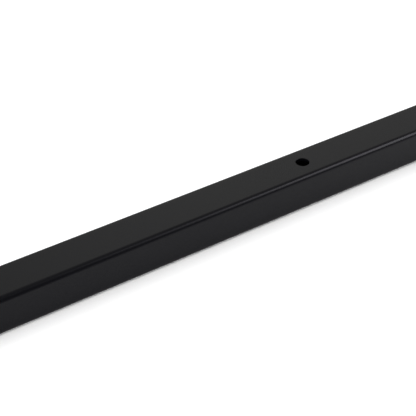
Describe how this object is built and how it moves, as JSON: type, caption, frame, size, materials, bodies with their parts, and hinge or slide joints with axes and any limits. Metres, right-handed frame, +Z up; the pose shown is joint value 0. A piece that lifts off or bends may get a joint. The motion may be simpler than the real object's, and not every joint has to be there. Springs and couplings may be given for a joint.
{
  "type": "truck bed header rail",
  "caption": "Straight black slotted rail that bolts across the front wall of a pickup truck bed, with a channel for sliding tie-down cleats and plugged ends.",
  "frame": {"origin": "middle of the slotted face, which the rail lies on, halfway along its length", "axes": "+X along the rail, +Y across its width, +Z up out of the back wall that takes the bolts"},
  "size_m": [1.4, 0.041, 0.036],
  "materials": {
    "powder_coated_aluminium": "satin",
    "moulded_plastic": "matte"
  },
  "bodies": {
    "root": {"rail": "powder_coated_aluminium", "left_end_cap": "moulded_plastic", "right_end_cap": "moulded_plastic"}
  },
  "joints": []
}
